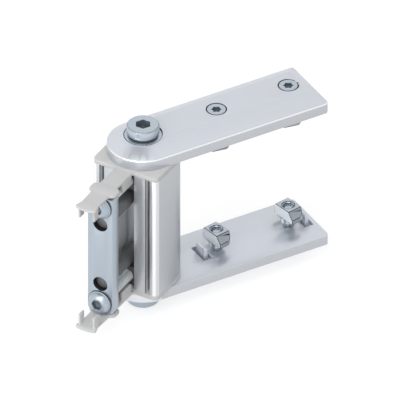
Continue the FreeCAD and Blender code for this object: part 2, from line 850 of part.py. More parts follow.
def build():
    """Make every piece and return the document."""
    doc = FreeCAD.newDocument("profile_pivot_joint")
    make = Builder(doc, fill_sheet(doc))
    column(make)
    uppers = [end_cap(make), arm(make), flange_bush(make), thrust_washer(make), pivot_screw(make)]
    uppers += [arm_screw(make, "near"), arm_screw(make, "far")]
    for upper in uppers:
        make.mirrored(upper, upper.Name.replace("upper_", "lower_"))
    clamp_bar(make)
    for side, sign in (("upper", ""), ("lower", "0 - ")):
        clamp_screw(make, side, sign)
        square_nut(make, side, sign)
        guide_pin(make, side, sign)
        hammer_nut(make, side, "near")
        hammer_nut(make, side, "far")
    doc.recompute()
    return doc


def check(doc):
    """Stop if any object failed or any piece is not one valid solid."""
    for item in doc.Objects:
        if "Invalid" in item.State or "Error" in item.State:
            raise RuntimeError(f"{item.Name} failed: {item.State}")
    for node in NODES:
        shape = node.Shape
        if shape.isNull() or not shape.isValid() or len(shape.Solids) != 1:
            raise RuntimeError(f"{node.Name} is not one valid solid")


def write_parts():
    """Write each piece to its own file."""
    os.makedirs("parts", exist_ok=True)
    for node in NODES:
        node.Shape.exportStep(f"parts/{node.Name}.step")
        print(f"{node.Name}: {node.Shape.Volume:.1f} mm3")


document = build()
check(document)
write_parts()
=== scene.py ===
"""Finished look of the profile pivot joint: its pieces, finishes, floor, light and camera.

Lengths are in millimetres and angles in degrees, apart from what is handed to Blender. A lean is
the share of a face's normal along an axis.
"""

from __future__ import annotations

import json
import logging
import math
from dataclasses import dataclass, field, replace
from enum import Enum
from typing import Any, Callable, Union

import bpy
from mathutils import Matrix, Vector

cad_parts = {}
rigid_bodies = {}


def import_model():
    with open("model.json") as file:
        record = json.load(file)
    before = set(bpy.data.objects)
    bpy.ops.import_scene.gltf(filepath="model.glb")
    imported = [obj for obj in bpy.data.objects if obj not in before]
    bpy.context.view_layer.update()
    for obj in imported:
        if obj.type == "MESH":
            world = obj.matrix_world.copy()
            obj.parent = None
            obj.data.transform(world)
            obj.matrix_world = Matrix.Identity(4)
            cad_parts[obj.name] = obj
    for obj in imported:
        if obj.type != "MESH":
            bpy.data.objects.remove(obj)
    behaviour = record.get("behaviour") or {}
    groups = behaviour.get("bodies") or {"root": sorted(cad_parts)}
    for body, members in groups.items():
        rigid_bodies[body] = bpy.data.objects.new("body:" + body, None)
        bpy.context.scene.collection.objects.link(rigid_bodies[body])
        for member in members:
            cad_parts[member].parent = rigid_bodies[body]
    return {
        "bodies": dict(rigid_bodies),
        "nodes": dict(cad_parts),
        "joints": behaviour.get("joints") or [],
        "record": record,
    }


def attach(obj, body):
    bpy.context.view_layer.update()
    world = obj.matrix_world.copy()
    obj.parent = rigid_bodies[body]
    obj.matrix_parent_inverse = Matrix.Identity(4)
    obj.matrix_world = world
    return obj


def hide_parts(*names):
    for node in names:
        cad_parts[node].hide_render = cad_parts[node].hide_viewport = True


LOG = logging.getLogger("profile_pivot_joint")

# Metres in a millimetre, and the distance in metres up to which corners are merged
MM = 0.001
WELD = 1e-6

# Where the solids have the pivot and the top of the arms, and the arms' turn at rest
PIVOT_X = 22.5
ARM_CROWN = 56.9
REST_SWING = -30.0

# Sides of a hexagon, steps of a full turn, and steps of a rounded edge
HEXAGON = 6
LARGE_ROUND = 96
SMALL_ROUND = 72
ROD_ROUND = 40
EDGE_STEPS = 2

# The most that flat faces differ by, and the least for a rounded edge and for a thread's sharp edge
FLAT_ANGLE = 1.0
EDGE_ANGLE = 30.0
THREAD_ANGLE = 25.0

# A thread's depth and flats as shares of its pitch
THREAD_DEPTH = 0.61
ROOT_FLAT = 0.125
CREST_FLAT = 0.25

# How far a cutting shape stands past what it cuts: a key, a thread, and the blank round a thread
KEY_ROOM = 1.0
THREAD_ROOM = 0.5
BLANK_ROOM = 0.1

# Shares of a normal along an axis, for a face that looks along it and one that leans that way
FACING = 0.9
LEANING = 0.5

# Display values up to the first are divided by the second to give light values, and the rest follow
# a curve
LINEAR_END = 0.04045
LINEAR_RATIO = 12.92
CURVE_OFFSET = 0.055
CURVE_POWER = 2.4

WHITE = (1.0, 1.0, 1.0, 1.0)

Triple = tuple[float, float, float]
Colour = Triple
Profile = list[tuple[float, float]]
FaceTest = Callable[[Vector, Vector], bool]


class Side(Enum):
    """Which of the two arms a piece goes with."""

    UPPER = "upper"
    LOWER = "lower"

    @property
    def sign(self) -> int:
        """1 above mid height and -1 below it."""
        return 1 if self is Side.UPPER else -1


class End(Enum):
    """Which of an arm's two screws a piece goes with, and how far that is from the pivot."""

    NEAR = 51.0
    FAR = 101.0

    @property
    def word(self) -> str:
        """The word that stands for it in names."""
        return self.name.lower()


class Cut(Enum):
    """What a second shape does to a first one."""

    AWAY = "DIFFERENCE"
    COMMON = "INTERSECT"


class Bench:
    """Modelling steps that several pieces share. Lengths are in millimetres."""

    @staticmethod
    def alone(obj: bpy.types.Object) -> None:
        """Make one object the active one and the only one selected."""
        bpy.ops.object.select_all(action="DESELECT")
        obj.select_set(True)
        bpy.context.view_layer.objects.active = obj

    @staticmethod
    def edit() -> None:
        """Open the active object in edit mode, by corners, with all of it selected."""
        bpy.ops.object.mode_set(mode="EDIT")
        bpy.ops.mesh.select_mode(type="VERT")
        bpy.ops.mesh.select_all(action="SELECT")

    @staticmethod
    def fresh(name: str) -> bpy.types.Object:
        """Name the primitive that was just added, and make it the only one selected.

        Args:
            name: The new object's name.

        Returns:
            The object.
        """
        obj = bpy.context.object
        obj.name = name
        obj.data.name = name
        Bench.alone(obj)
        return obj

    @staticmethod
    def prism(name: str, sides: int, radius: float, low: float, high: float) -> bpy.types.Object:
        """A closed prism about Z with a corner along Y.

        Args:
            name: The new object's name.
            sides: How many sides it has.
            radius: Distance of its corners from Z.
            low: Height of its lower end.
            high: Height of its upper end.

        Returns:
            The prism.
        """
        bpy.ops.object.select_all(action="DESELECT")
        bpy.ops.mesh.primitive_cylinder_add(
            vertices=sides,
            radius=radius * MM,
            depth=(high - low) * MM,
            location=(0, 0, (low + high) / 2 * MM),
        )
        obj = Bench.fresh(name)
        bpy.ops.object.transform_apply(location=True, rotation=False, scale=False)
        return obj

    @staticmethod
    def drawn(name: str, steps: Profile) -> bpy.types.Object:
        """A line in the XZ plane, left open in edit mode.

        Args:
            name: The new object's name.
            steps: The way along X and Z from the origin to the first corner, and then from each
                corner to the next.

        Returns:
            The line.
        """
        bpy.ops.object.select_all(action="DESELECT")
        bpy.ops.mesh.primitive_plane_add(size=MM)
        obj = Bench.fresh(name)
        Bench.edit()
        bpy.ops.mesh.merge(type="CENTER")
        first, *others = [(across * MM, 0, up * MM) for across, up in steps]
        bpy.ops.transform.translate(value=first)
        for step in others:
            bpy.ops.mesh.extrude_vertices_move(TRANSFORM_OT_translate={"value": step})
        return obj

    @staticmethod
    def turned(name: str, profile: Profile, steps: int = LARGE_ROUND) -> bpy.types.Object:
        """A solid spun about Z from a profile.

        Args:
            name: The new object's name.
            profile: Radius and height of each corner, from the axis round to the axis.
            steps: Steps of a full turn.

        Returns:
            The solid.
        """
        starts = [(0.0, 0.0), *profile]
        obj = Bench.drawn(
            name, [(end[0] - start[0], end[1] - start[1]) for start, end in zip(starts, profile)]
        )
        bpy.ops.mesh.select_all(action="SELECT")
        bpy.ops.mesh.spin(steps=steps, angle=2 * math.pi, center=(0, 0, 0), axis=(0, 0, 1))
        bpy.ops.mesh.select_all(action="SELECT")
        bpy.ops.mesh.remove_doubles(threshold=WELD)
        bpy.ops.mesh.normals_make_consistent(inside=False)
        bpy.ops.object.mode_set(mode="OBJECT")
        return obj

    @staticmethod
    def threaded(
        name: str, radius: float, pitch: float, low: float, high: float
    ) -> bpy.types.Object:
        """A rod about Z with a screw thread, cut square at both ends.

        Args:
            name: The new object's name.
            radius: Outer radius of the thread.
            pitch: Height of one turn.
            low: Height of its lower end.
            high: Height of its upper end.

        Returns:
            The rod.
        """
        root = radius - THREAD_DEPTH * pitch
        half = (radius - root) / 2
        rise = (1.0 - ROOT_FLAT - CREST_FLAT) / 4 * pitch
        rising, falling = (half, rise), (-half, rise)
        root_flat, crest_flat = (0.0, ROOT_FLAT * pitch), (0.0, CREST_FLAT * pitch)
        obj = Bench.drawn(
            name,
            [(root, low - pitch), root_flat, rising, rising, crest_flat, falling, falling],
        )
        bpy.ops.object.mode_set(mode="OBJECT")
        helix = obj.modifiers.new("helix", "SCREW")
        helix.angle = 2 * math.pi
        helix.screw_offset = pitch * MM
        helix.iterations = math.ceil((high - low) / pitch) + 2
        helix.steps = ROD_ROUND
        helix.use_merge_vertices = True
        helix.merge_threshold = WELD
        bpy.ops.object.modifier_apply(modifier=helix.name)
        Bench.edit()
        bpy.ops.mesh.remove_doubles(threshold=WELD)
        for height, upper in ((low, False), (high, True)):
            bpy.ops.mesh.select_all(action="SELECT")
            bpy.ops.mesh.bisect(
                plane_co=(0, 0, height * MM),
                plane_no=(0, 0, 1),
                use_fill=True,
                clear_inner=not upper,
                clear_outer=upper,
            )
        bpy.ops.mesh.select_all(action="SELECT")
        bpy.ops.mesh.normals_make_consistent(inside=False)
        bpy.ops.object.mode_set(mode="OBJECT")
        return obj

    @staticmethod
    def shank(
        radius: float, pitch: float, tip: float, end: float, point: float
    ) -> bpy.types.Object:
        """Threaded shank of a screw, upright about Z, with its tip bevelled.

        Args:
            radius: Outer radius of the thread.
            pitch: Height of one turn.
            tip: Height of the tip.
            end: Height of the other end, inside the head.
            point: Height of the bevel at the tip.

        Returns:
            The shank.
        """
        wide = radius + BLANK_ROOM
        blank = Bench.turned(
            "blank",
            [(0.0, tip), (wide - point, tip), (wide, tip + point), (wide, end), (0.0, end)],
            steps=ROD_ROUND,
        )
        shank = Bench.threaded("shank", radius, pitch, tip - THREAD_ROOM, end + THREAD_ROOM)
        Bench.combine(shank, blank, Cut.COMMON)
        Bench.alone(shank)
        bpy.ops.object.shade_smooth_by_angle(angle=math.radians(THREAD_ANGLE))
        return shank

    @staticmethod
    def socketed(screw: bpy.types.Object, reach: float, floor: float, top: float) -> None:
        """Cut a hexagon socket into the head of a screw that is upright about Z.

        Args:
            screw: The screw.
            reach: Distance of the socket's corners from Z.
            floor: Height of the socket's floor.
            top: Height of the head's top.
        """
        key = Bench.prism("key", HEXAGON, reach, floor, top + KEY_ROOM)
        Bench.combine(screw, key, Cut.AWAY)

    @staticmethod
    def combine(obj: bpy.types.Object, tool: bpy.types.Object, cut: Cut) -> None:
        """Cut one object with another, which is then removed.

        Args:
            obj: The object that stays.
            tool: The object that is used up.
            cut: What the tool does.
        """
        Bench.alone(obj)
        step = obj.modifiers.new("cut", "BOOLEAN")
        step.operation = cut.value
        step.solver = "EXACT"
        step.object = tool
        bpy.ops.object.modifier_apply(modifier=step.name)
        bpy.data.objects.remove(tool)

    @staticmethod
    def joined(first: bpy.types.Object, second: bpy.types.Object) -> bpy.types.Object:
        """Join two closed shapes that overlap into one object, the first one."""
        Bench.alone(first)
        second.select_set(True)
        bpy.ops.object.join()
        return first

    @staticmethod
    def softened(
        obj: bpy.types.Object, width: float, angle: float = EDGE_ANGLE, skin: int = -1
    ) -> None:
        """Round the sharp edges and shade the rest smooth.

        Args:
            obj: The object to finish.
            width: Width of the rounding.
            angle: Edges that turn by more than this many degrees are rounded.
            skin: Number of the finish that the rounding gets, -1 for that of its neighbours.
        """
        Bench.alone(obj)
        step = obj.modifiers.new("edges", "BEVEL")
        step.width = width * MM
        step.segments = EDGE_STEPS
        step.material = skin
        step.limit_method = "ANGLE"
        step.angle_limit = math.radians(angle)
        step.use_clamp_overlap = False
        step.miter_outer = "MITER_ARC"
        bpy.ops.object.modifier_apply(modifier=step.name)
        bpy.ops.object.shade_smooth_by_angle(angle=math.radians(angle))

    @staticmethod
    def placed(obj: bpy.types.Object, spot: Triple, turn: Triple) -> None:
        """Turn a piece about X, Y and Z, move it to a spot, and leave that in its mesh.

        Args:
            obj: The piece, modelled about the origin.
            spot: Where the piece's origin goes.
            turn: Degrees about X, then Y, then Z.
        """
        Bench.alone(obj)
        obj.rotation_euler = [math.radians(angle) for angle in turn]
        obj.location = Vector(spot) * MM
        bpy.ops.object.transform_apply(location=True, rotation=True, scale=True)


class Wire:
    """A socket of a material's node tree, on which sums can be written."""

    def __init__(self, shop: "Mixing", socket: bpy.types.NodeSocket) -> None:
        """Hold a socket and the tree that it belongs to."""
        self.shop = shop
        self.socket = socket

    def __add__(self, other: "Term") -> "Wire":
        """Sum."""
        return self.shop.sum_of("ADD", self, other)

    def __radd__(self, other: "Term") -> "Wire":
        """Sum, the other way round."""
        return self.shop.sum_of("ADD", other, self)

    def __mul__(self, other: "Term") -> "Wire":
        """Product."""
        return self.shop.sum_of("MULTIPLY", self, other)

    def __rmul__(self, other: "Term") -> "Wire":
        """Product, the other way round."""
        return self.shop.sum_of("MULTIPLY", other, self)


Term = Union[Wire, float]


class Mixing:
    """The node tree of one material or of the world."""

    # Numbers of a Mix node's sockets for the first colour, the second one and the mixed one
    FIRST, SECOND, MIXED = 6, 7, 2

    def __init__(self, owner: Union[bpy.types.Material, bpy.types.World]) -> None:
        """Start with an empty tree.

        Args:
            owner: The material or world that the tree belongs to.
        """
        owner.use_nodes = True
        self.tree = owner.node_tree
        self.tree.nodes.clear()

    def node(
        self,
        kind: str,
        settings: dict[str, Any] | None = None,
        inputs: dict[str | int, Any] | None = None,
        output: str | int = 0,
    ) -> Wire:
        """Add a node.

        Args:
            kind: The node's type.
            settings: What is set on the node itself; stops are a colour ramp's.
            inputs: A value or a wire for each socket, by its name or number.
            output: The output that the wire comes from.

        Returns:
            The wire from that output, or the first input of a node that has no outputs.
        """
        item = self.tree.nodes.new(kind)
        for name, value in (settings or {}).items():
            if name == "stops":
                ramp = item.color_ramp
                while len(ramp.elements) < len(value):
                    ramp.elements.new(1.0)
                for element, (position, shade) in zip(ramp.elements, value):
                    element.position = position
                    element.color = (shade, shade, shade, 1.0)
            else:
                setattr(item, name, value)
        for name, value in (inputs or {}).items():
            socket = item.inputs[name]
            if isinstance(value, Wire):
                self.tree.links.new(value.socket, socket)
            else:
                socket.default_value = value
        return Wire(self, item.outputs[output]) if item.outputs else Wire(self, item.inputs[0])

    def sum_of(self, operation: str, first: Term, second: Term) -> Wire:
        """Add a Math node."""
        return self.node("ShaderNodeMath", {"operation": operation}, {0: first, 1: second})

    def blend(self, factor: Term, low: Colour, high: Colour) -> Wire:
        """Mix two colours.

        Args:
            factor: 0 for the first colour, 1 for the second.
            low: The first colour, in display values.
            high: The second colour, in display values.

        Returns:
            The mixed colour.
        """
        sockets = {0: factor, self.FIRST: (*linear(low), 1.0), self.SECOND: (*linear(high), 1.0)}
        return self.node("ShaderNodeMix", {"data_type": "RGBA"}, sockets, self.MIXED)

    def noise(self, grain: float, stretch: Triple, detail: float) -> Wire:
        """Noise on the piece's own coordinates.

        Args:
            grain: Size of its grain in millimetres.
            stretch: How much longer the grain is along X, Y and Z.
            detail: Finer layers of noise.

        Returns:
            A value about 0.5.
        """
        place = self.node("ShaderNodeTexCoord", output="Object")
        scale = tuple(1 / length for length in stretch)
        mapped = self.node("ShaderNodeMapping", {}, {"Vector": place, "Scale": scale})
        sockets = {"Vector": mapped, "Scale": 1 / (grain * MM), "Detail": detail}
        return self.node("ShaderNodeTexNoise", {}, sockets)

    def surface(self, shader: Wire, output: str = "ShaderNodeOutputMaterial") -> None:
        """Join a shader to the output of the material or the world."""
        self.node(output, {}, {"Surface": shader})


def linear(shade: Colour) -> Colour:
    """Display values of a colour as light values."""
    return tuple(
        value / LINEAR_RATIO
        if value <= LINEAR_END
        else ((value + CURVE_OFFSET) / (1 + CURVE_OFFSET)) ** CURVE_POWER
        for value in shade
    )


def shifted(shade: Colour, amount: float) -> Colour:
    """A colour made lighter or darker by an amount."""
    return tuple(min(max(value + amount, 0.0), 1.0) for value in shade)


@dataclass(frozen=True)
class Finish:
    """A surface finish: its shade, gloss and grain, and how much each of them varies.

    Grain, cloud and relief are in millimetres, and bands are painted shade: a colour ramp's stops
    over the first band_reach millimetres along X, from 0 for band_shade to 1 for the finish's own
    shade.
    """

    name: str
    slot: str
    shade: Colour
    metallic: float
    roughness: float
    shade_play: float = 0.01
    roughness_play: float = 0.06
    grain: float = 0.4
    grain_detail: float = 2.0
    grain_share: float = 0.6
    stretch: Triple = (1.0, 1.0, 1.0)
    cloud: float = 9.0
    cloud_detail: float = 3.0
    relief: float = 0.004
    bands: tuple[tuple[float, float], ...] = ()
    band_reach: float = 10.0
    band_shade: Colour = (0.05, 0.055, 0.06)

    def mixed(self) -> bpy.types.Material:
        """Make the material.

        Returns:
            A material whose shade, roughness and relief vary with the grain and a larger cloud, and
            whose shade also follows the bands of painted shade, if there are any.
        """
        material = bpy.data.materials.new(self.name)
        shop = Mixing(material)
        grain = shop.noise(self.grain, self.stretch, self.grain_detail)
        cloud = shop.noise(self.cloud, self.stretch, self.cloud_detail)
        tone = grain * self.grain_share + cloud * (1.0 - self.grain_share)
        relief = shop.node(
            "ShaderNodeBump",
            {},
            {"Height": grain, "Distance": self.relief * MM, "Strength": 1.0},
        )
        dark, light = (shifted(self.shade, play) for play in (-self.shade_play, self.shade_play))
        shade = shop.blend(tone, dark, light)
        # Painted shade in bands along X
        if self.bands:
            place = shop.node("ShaderNodeTexCoord", output="Object")
            along = shop.node("ShaderNodeSeparateXYZ", {}, {"Vector": place})
            share = along * (1.0 / (self.band_reach * MM))
            bands = shop.node("ShaderNodeValToRGB", {"stops": self.bands}, {"Fac": share})
            shade = shop.blend(bands, self.band_shade, self.shade)
        smoothest = self.roughness - self.roughness_play
        shader = shop.node(
            "ShaderNodeBsdfPrincipled",
            {},
            {
                "Base Color": shade,
                "Metallic": self.metallic,
                "Roughness": tone * (2 * self.roughness_play) + smoothest,
                "Normal": relief,
            },
        )
        shop.surface(shader)
        return material


ANODISED = Finish(
    "anodised_extrusion", "column", (0.755, 0.77, 0.785), 0.55, 0.36,
    shade_play=0.02, roughness_play=0.08, grain=0.25, stretch=(1.0, 1.0, 60.0), relief=0.003,
)
# Painted shade: the strips facing the post get their own copy of the anodised finish, toned to how
# the bar shades them
FRONT_STRIP_SHADE = replace(
    ANODISED, name="rubbed_extrusion", shade=(0.77, 0.785, 0.80), metallic=0.5, roughness=0.34,
)
# Painted highlight down the rounded corner beside the front: a paler band, and a brighter, glossier
# one within it
SOFT_CORNER_HIGHLIGHT = replace(
    FRONT_STRIP_SHADE, name="worn_corner", shade=(0.875, 0.88, 0.885), roughness=0.30,
    shade_play=0.01, roughness_play=0.04, relief=0.002,
)
BRIGHT_CORNER_HIGHLIGHT = replace(
    SOFT_CORNER_HIGHLIGHT, name="burnished_corner", shade=(0.965, 0.97, 0.975), metallic=0.85, roughness=0.24,
)
# Painted light: the channel's walls are lighter than the anodised finish, standing in for light
# that reaches into the channel
LIT_GROOVE = replace(
    ANODISED, name="groove_wall", shade=(0.90, 0.905, 0.91), metallic=0.25, roughness=0.45,
    roughness_play=0.06,
)
# Painted light and shade on the slot walls: darker towards the mouth and towards the back along X
# as painted shade, with a lighter middle as painted light
SLOT_LIGHT_AND_SHADE = replace(
    LIT_GROOVE, name="slot_wall", shade=(0.93, 0.935, 0.94), metallic=0.3, roughness=0.5,
    shade_play=0.01, bands=((0.10, 0.35), (0.16, 1.0), (0.32, 1.0), (0.40, 0.3)),
)
SATIN = Finish(
    "satin_silver", "arm", (0.835, 0.85, 0.88), 0.6, 0.33,
    shade_play=0.012, roughness_play=0.03, grain=0.35, relief=0.003,
)
# Painted shade: the arm's narrow sides get a darker copy of the satin finish, for the less light
# that falls on them
SHADED_ARM_SIDE = replace(SATIN, name="satin_side", shade=(0.765, 0.78, 0.80))
# Painted light: the sides of the lower arm's round end get a paler copy of the satin finish
LIT_ARM_END = replace(SATIN, name="pale_satin_end", shade=(0.93, 0.935, 0.96))
# Painted highlight: a bright line along the rounding below the crown
ARRIS_HIGHLIGHT = replace(
    SATIN, name="bright_arris", shade=(0.97, 0.975, 0.98), metallic=0.8, roughness=0.24,
    shade_play=0.01, relief=0.002,
)
# Painted shade: near black in the gaps round the bush and the countersunk heads, and on the walls
# of the bar's guide holes
GAP_SHADE = Finish(
    "shaded_gap", "arm", (0.12, 0.13, 0.14), 0.2, 0.6,
    shade_play=0.02, grain=0.35,
)
MOULDED = Finish(
    "light_grey_moulding", "cap", (0.82, 0.82, 0.82), 0.0, 0.50,
    shade_play=0.008, grain=0.3, relief=0.006,
)
ZINC = Finish(
    "bright_zinc_plate", "zinc_steel", (0.73, 0.77, 0.81), 0.75, 0.26,
    shade_play=0.012, roughness_play=0.05, grain=1.2, cloud=7.0, relief=0.0012,
)
# Painted highlight: near white zinc on the hammer nuts' narrow sides and on the clamp screws'
# thread crests
HIGHLIGHT_ZINC = replace(
    ZINC, name="sheared_side", shade=(0.95, 0.965, 0.98), metallic=0.25, roughness=0.30,
    shade_play=0.01,
)
# Darker plating of the bar and the clamp screws; on the lower pivot screw it is painted shade under
# the arm
PLATED = replace(
    ZINC, name="plated_bar", shade=(0.685, 0.725, 0.765), metallic=0.7, roughness=0.30,
)
# Painted shade: dark lines on the hammer nuts' rounded edges and round the clamp screws' flanges,
# and a dark band at the foot of the pivot screws' heads
EDGE_SHADE = Finish(
    "darkened_edge", "zinc_steel", (0.22, 0.24, 0.26), 0.5, 0.40,
    shade_play=0.02, grain=0.8, relief=0.0012,
)
# Painted shade: darker zinc inside the screws' sockets
RECESS_SHADE = Finish(
    "oiled_recess", "zinc_steel", (0.46, 0.50, 0.54), 0.6, 0.42,
    shade_play=0.03, grain=0.5, relief=0.003,
)
# Painted shade: darker, duller zinc on the pivot screws' top chamfer, the hammer nuts' flanks and
# the clamp screws' thread roots
SHADED_ZINC = replace(RECESS_SHADE, name="dull_zinc", shade=(0.61, 0.645, 0.67), metallic=0.4)
BLACKENED = Finish(
    "blackened_steel", "dark_steel", (0.45, 0.455, 0.46), 0.5, 0.40,
    shade_play=0.03, grain=0.5,
)


class Stock:
    """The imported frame, and the finishes and repeated shapes made so far."""

    def __init__(self, frame: dict[str, Any]) -> None:
        """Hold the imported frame."""
        self.frame = frame
        self.made: dict[str, bpy.types.Material] = {}
        self.patterns: dict[str, bpy.types.Mesh] = {}

    def material(self, finish: Finish) -> bpy.types.Material:
        """The material of a finish, made once."""
        if finish.name not in self.made:
            self.made[finish.name] = finish.mixed()
        return self.made[finish.name]

    def body_of(self, node: str) -> str:
        """The moving body that a node rides on."""
        bodies = self.frame["record"]["behaviour"]["bodies"]
        return next(body for body, members in bodies.items() if node in members)

    @staticmethod
    def piece(name: str, mesh: bpy.types.Mesh) -> bpy.types.Object:
        """Put a mesh into the scene as an object, and make that the only one selected."""
        mesh.name = name
        obj = bpy.data.objects.new(name, mesh)
        bpy.context.scene.collection.objects.link(obj)
        Bench.alone(obj)
        return obj

    def copy_of(self, node: str, name: str, whole: bool = True) -> bpy.types.Object:
        """A copy of a node, with its loose triangles welded.

        Args:
            node: The node to copy.
            name: The new object's name.
            whole: Whether flat runs of triangles become whole faces.

        Returns:
            The copy, which stands by itself.
        """
        mesh = self.frame["nodes"][node].data.copy()
        mesh.materials.clear()
        obj = self.piece(name, mesh)
        Bench.edit()
        bpy.ops.mesh.remove_doubles(threshold=WELD)
        bpy.ops.mesh.customdata_custom_splitnormals_clear()
        if whole:
            bpy.ops.mesh.dissolve_limited(angle_limit=math.radians(FLAT_ANGLE))
        bpy.ops.object.mode_set(mode="OBJECT")
        return obj

    def repeated(
        self, place: str, kind: str, make: Callable[[str], bpy.types.Object]
    ) -> bpy.types.Object:
        """A copy of a shape that repeats, which is modelled the first time.

        Args:
            place: The first part of the new piece's name.
            kind: What the piece is, the rest of its name.
            make: Models the shape and gives it this kind as its name.

        Returns:
            The copy, with a mesh of its own.
        """
        if kind not in self.patterns:
            pattern = make(kind)
            self.patterns[kind] = pattern.data
            bpy.data.objects.remove(pattern)
        return self.piece(f"{place}_{kind}", self.patterns[kind].copy())

    def coat(
        self, obj: bpy.types.Object, finish: Finish, others: dict[Finish, FaceTest] | None = None
    ) -> None:
        """Give a piece its finish, and some of its faces another one.

        Args:
            obj: The piece.
            finish: The finish of the whole piece.
            others: Further finishes, each with a test on a face's middle in millimetres and its
                normal.
        """
        obj.data.materials.clear()
        obj.data.materials.append(self.material(finish))
        for number, (other, chosen) in enumerate((others or {}).items(), start=1):
            obj.data.materials.append(self.material(other))
            for face in obj.data.polygons:
                if chosen(face.center / MM, face.normal):
                    face.material_index = number

    def fit(self, obj: bpy.types.Object, node: str, finish: Finish) -> None:
        """Let a finished piece stand for a node.

        Args:
            obj: The piece, which gets the finish if it has none yet.
            node: The node that it replaces and moves with.
            finish: Its main finish.
        """
        if not obj.data.materials:
            self.coat(obj, finish)
        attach(obj, self.body_of(node))
        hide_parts(node)
        LOG.info("%s stands for %s, %d faces", obj.name, node, len(obj.data.polygons))

    def rounded(self, node: str, name: str, edge: float, finish: Finish) -> None:
        """Let a copy of a node with its edges rounded stand for the node.

        Args:
            node: The node.
            name: The copy's name.
            edge: Width of the rounding.
            finish: The copy's finish.
        """
        obj = self.copy_of(node, name)
        Bench.softened(obj, edge)
        self.fit(obj, node, finish)

    def dress(self, node: str, finish: Finish) -> None:
        """Give a node that stays as it is its finish."""
        obj = self.frame["nodes"][node]
        for place in obj.material_slots:
            place.link = "OBJECT"
            place.material = self.material(finish)
        LOG.info("%s stays and is finished in %s", node, finish.name)


@dataclass
class Column:
    """The extruded column and the square nuts in its channel."""

    stock: Stock
    edge: float = 0.3
    front: float = 0.4
    corner: tuple[float, float] = (0.05, 3.6)
    corner_side: float = 18.3
    # Leans that bound the two bands of painted highlight on the corner
    worn_lean: float = 0.98
    burnished_lean: float = 0.66
    channel: tuple[float, float] = (0.0, 6.7)
    slot: tuple[float, float] = (14.2, 17.5)
    groove_depth: float = 14.7

    def build(self) -> None:
        """Round the edges and finish the pieces."""
        profile = self.stock.copy_of("column_profile", "extruded_column")
        Bench.softened(profile, self.edge)
        self.stock.coat(
            profile,
            ANODISED,
            {
                # Painted shade on the strips that face the post
                FRONT_STRIP_SHADE: self.on_front,
                # Painted highlights on the rounded corner beside the front
                SOFT_CORNER_HIGHLIGHT: lambda spot, normal: self.on_corner(spot, normal, self.worn_lean),
                BRIGHT_CORNER_HIGHLIGHT: lambda spot, normal: self.on_corner(spot, normal, self.burnished_lean),
                # Painted light on the channel walls
                LIT_GROOVE: lambda spot, normal: self.in_groove(spot, normal, self.channel),
                # Painted light and shade on the slot walls
                SLOT_LIGHT_AND_SHADE: lambda spot, normal: self.in_groove(spot, normal, self.slot),
            },
        )
        self.stock.fit(profile, "column_profile", ANODISED)
        # The channel nuts are blackened steel; their dark colour also stands in for the shade in
        # the channel behind the clamp screws, as painted shade
        for side in Side:
            self.stock.rounded(
                f"{side.value}_square_nut", f"{side.value}_channel_nut", self.edge, BLACKENED
            )

    def on_front(self, spot: Vector, normal: Vector) -> bool:
        """Whether a face is one of the strips that meet the post."""
        return normal.x < -FACING and spot.x < self.front

    def on_corner(self, spot: Vector, normal: Vector, lean: float) -> bool:
        """Whether a face in a corner beside the front looks sideways by less than a lean."""
        near, far = self.corner
        return near < spot.x < far and abs(spot.y) > self.corner_side and abs(normal.y) < lean

    def in_groove(self, spot: Vector, normal: Vector, sides: tuple[float, float]) -> bool:
        """Whether a face is a wall of a groove between two distances from the middle."""
        near, far = sides
        inside = near < abs(spot.y) < far and self.front < spot.x < self.groove_depth
        return inside and abs(normal.y) > LEANING


@dataclass
class EndCap:
    """A moulded cap with its tongue over the clamp bar."""

    stock: Stock
    side: Side
    edge: float = 0.25

    def build(self) -> None:
        """Round the cap's edges and finish it."""
        name = self.side.value
        self.stock.rounded(f"{name}_end_cap", f"{name}_moulded_cap", self.edge, MOULDED)


